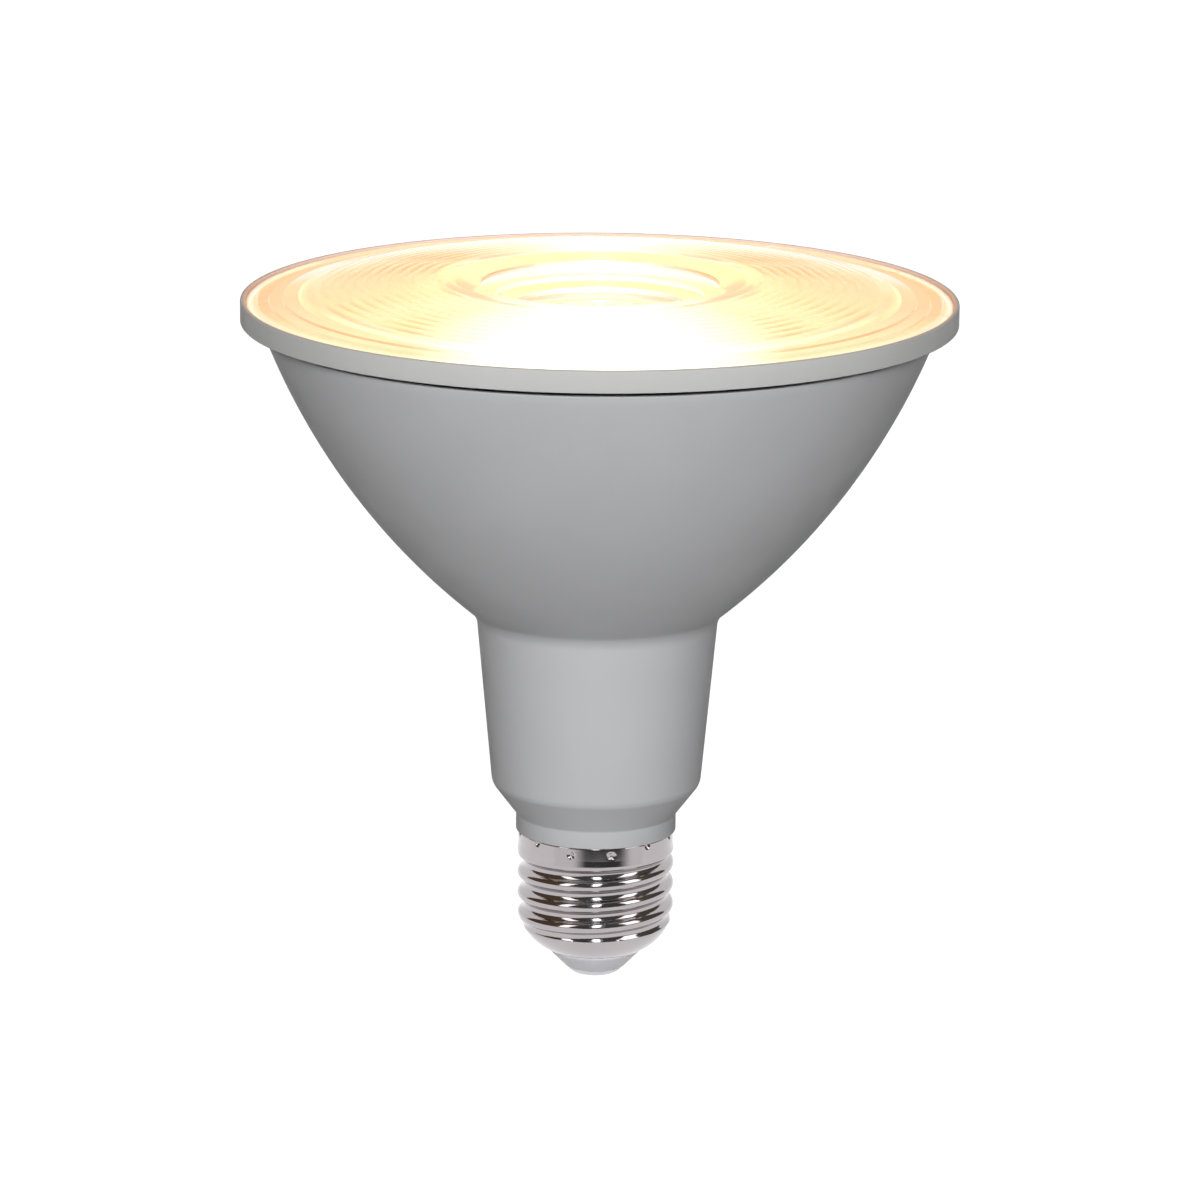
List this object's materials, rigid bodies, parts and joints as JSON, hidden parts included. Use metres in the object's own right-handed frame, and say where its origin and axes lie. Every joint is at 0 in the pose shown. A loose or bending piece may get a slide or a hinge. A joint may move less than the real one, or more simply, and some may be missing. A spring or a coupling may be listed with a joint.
{
  "type": "reflector spotlight bulb",
  "caption": "LED reflector lamp with a domed, ringed lens in a grey bowl housing on a nickel-plated Edison screw cap.",
  "frame": {"origin": "tip of the centre contact, on the lamp's axis", "axes": "+Z along the lamp's axis from the screw cap to the lens"},
  "size_m": [0.119, 0.119, 0.1203],
  "materials": {
    "clear_lens": "clear moulded, lit warm white",
    "grey_plastic": "fine satin mould finish",
    "black_silicone": "matt",
    "white_reflector": "bright white",
    "aluminium": "as pressed",
    "white_board": "white solder mask",
    "phosphor": "phosphor gel, lit",
    "screw_steel": "zinc plated",
    "white_plastic": "satin",
    "red_insulation": "gloss",
    "black_insulation": "gloss",
    "white_insulation": "gloss",
    "board_laminate": "solder mask",
    "capacitor_sleeve": "shrink sleeve",
    "ferrite": "ground",
    "winding_tape": "polyester tape",
    "capacitor_case": "moulded case",
    "resistor_body": "lacquered",
    "black_epoxy": "moulded",
    "nickel_plate": "bright nickel plate",
    "insulator_ceramic": "pale, smooth",
    "contact_metal": "tinned"
  },
  "bodies": {
    "root": {"lens": "clear_lens", "front_ring": "grey_plastic", "rim_gasket": "black_silicone", "housing": "grey_plastic", "reflector": "white_reflector", "heat_sink": "aluminium", "led_board": "white_board", "led_packages": "phosphor", "board_screws": "screw_steel", "board_connector": "white_plastic", "led_wire_plus": "red_insulation", "led_wire_minus": "black_insulation", "driver_sleeve": "white_plastic", "driver_board": "board_laminate", "electrolytic_capacitor": "capacitor_sleeve", "transformer_core": "ferrite", "transformer_winding": "winding_tape", "choke": "ferrite", "film_capacitor": "capacitor_case", "fuse_resistor": "resistor_body", "bridge_rectifier": "black_epoxy", "driver_chip": "black_epoxy", "centre_wire": "white_insulation", "side_wire": "white_insulation", "screw_shell": "nickel_plate", "cap_insulator": "insulator_ceramic", "centre_contact": "contact_metal"}
  },
  "joints": []
}
